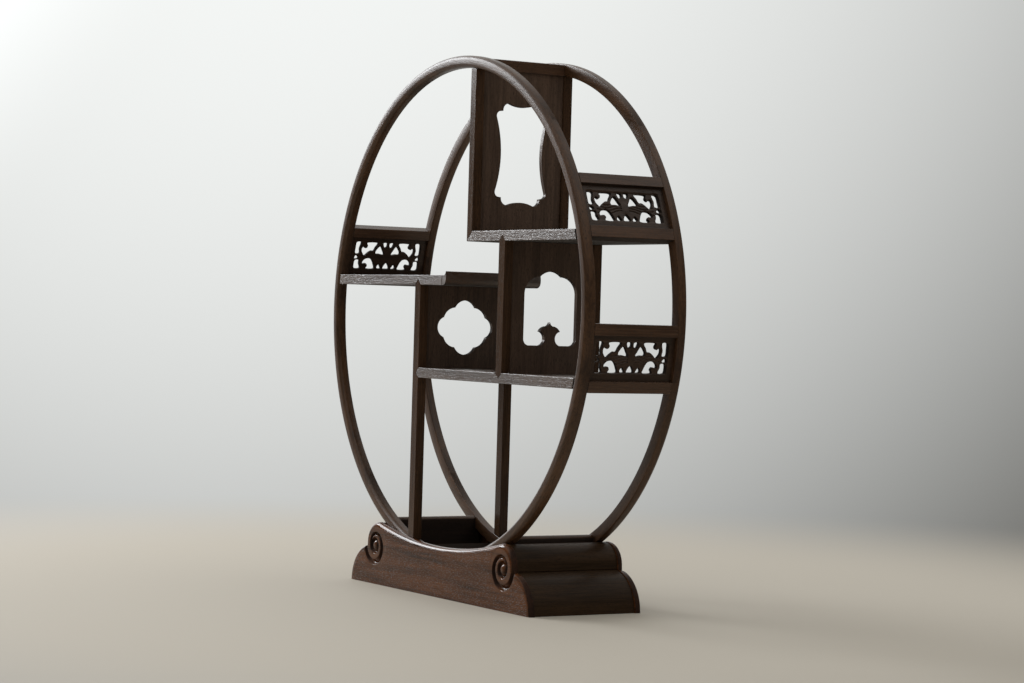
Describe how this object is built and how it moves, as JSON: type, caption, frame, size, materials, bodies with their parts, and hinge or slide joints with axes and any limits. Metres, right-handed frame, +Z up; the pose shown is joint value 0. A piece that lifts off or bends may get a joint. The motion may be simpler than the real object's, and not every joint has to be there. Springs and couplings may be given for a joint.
{
  "type": "display shelf",
  "caption": "Round free-standing display shelf of dark wood: a ring-shaped frame holds offset shelves, pierced partitions and pierced guards on a scrolled cradle base.",
  "frame": {"origin": "on the floor plane, under the centre of the rings, at the middle of the depth", "axes": "+X to the right along the front, +Y from front to back, +Z up"},
  "size_m": [0.8, 0.2, 0.85],
  "materials": {
    "ring_wood": "dark stained open-grain wood under satin lacquer",
    "shelf_wood": "dark stained open-grain wood under satin lacquer",
    "post_wood": "dark stained open-grain wood under satin lacquer",
    "panel_wood": "dark stained open-grain wood under satin lacquer",
    "guard_wood": "dark stained open-grain wood under satin lacquer",
    "rail_wood": "dark stained open-grain wood under satin lacquer",
    "base_board_wood": "dark stained open-grain wood under satin lacquer",
    "base_roll_wood": "dark stained open-grain wood under satin lacquer",
    "base_inner_wood": "dark stained open-grain wood under satin lacquer",
    "hidden_wood": "bare wood"
  },
  "bodies": {
    "root": {"back_ring_pins": "ring_wood", "back_ring_segment_1": "ring_wood", "back_ring_segment_2": "ring_wood", "back_ring_segment_3": "ring_wood", "back_ring_segment_4": "ring_wood", "back_ring_segment_5": "ring_wood", "back_ring_segment_6": "ring_wood", "base_back_board": "base_board_wood", "base_dowels": "hidden_wood", "base_front_board": "base_board_wood", "base_glue_blocks": "hidden_wood", "base_left_bearer": "base_inner_wood", "base_left_lower_roll": "base_roll_wood", "base_left_tie": "base_roll_wood", "base_left_upper_roll": "base_roll_wood", "base_right_bearer": "base_inner_wood", "base_right_lower_roll": "base_roll_wood", "base_right_tie": "base_roll_wood", "base_right_upper_roll": "base_roll_wood", "bottom_shelf": "shelf_wood", "centre_back_stile": "post_wood", "centre_front_stile": "post_wood", "centre_partition_panel": "panel_wood", "front_ring_pins": "ring_wood", "front_ring_segment_1": "ring_wood", "front_ring_segment_2": "ring_wood", "front_ring_segment_3": "ring_wood", "front_ring_segment_4": "ring_wood", "front_ring_segment_5": "ring_wood", "front_ring_segment_6": "ring_wood", "left_back_post": "post_wood", "left_front_post": "post_wood", "left_guard_bottom_rail": "rail_wood", "left_guard_panel": "guard_wood", "left_guard_top_rail": "rail_wood", "left_partition_panel": "panel_wood", "left_shelf": "shelf_wood", "left_shelf_lip": "shelf_wood", "lower_right_guard_bottom_rail": "rail_wood", "lower_right_guard_panel": "guard_wood", "lower_right_guard_top_rail": "rail_wood", "upper_back_stile": "post_wood", "upper_front_stile": "post_wood", "upper_partition_panel": "panel_wood", "upper_right_guard_bottom_rail": "rail_wood", "upper_right_guard_panel": "guard_wood", "upper_right_guard_top_rail": "rail_wood", "upper_shelf": "shelf_wood", "upper_tie_rail": "rail_wood"}
  },
  "joints": []
}
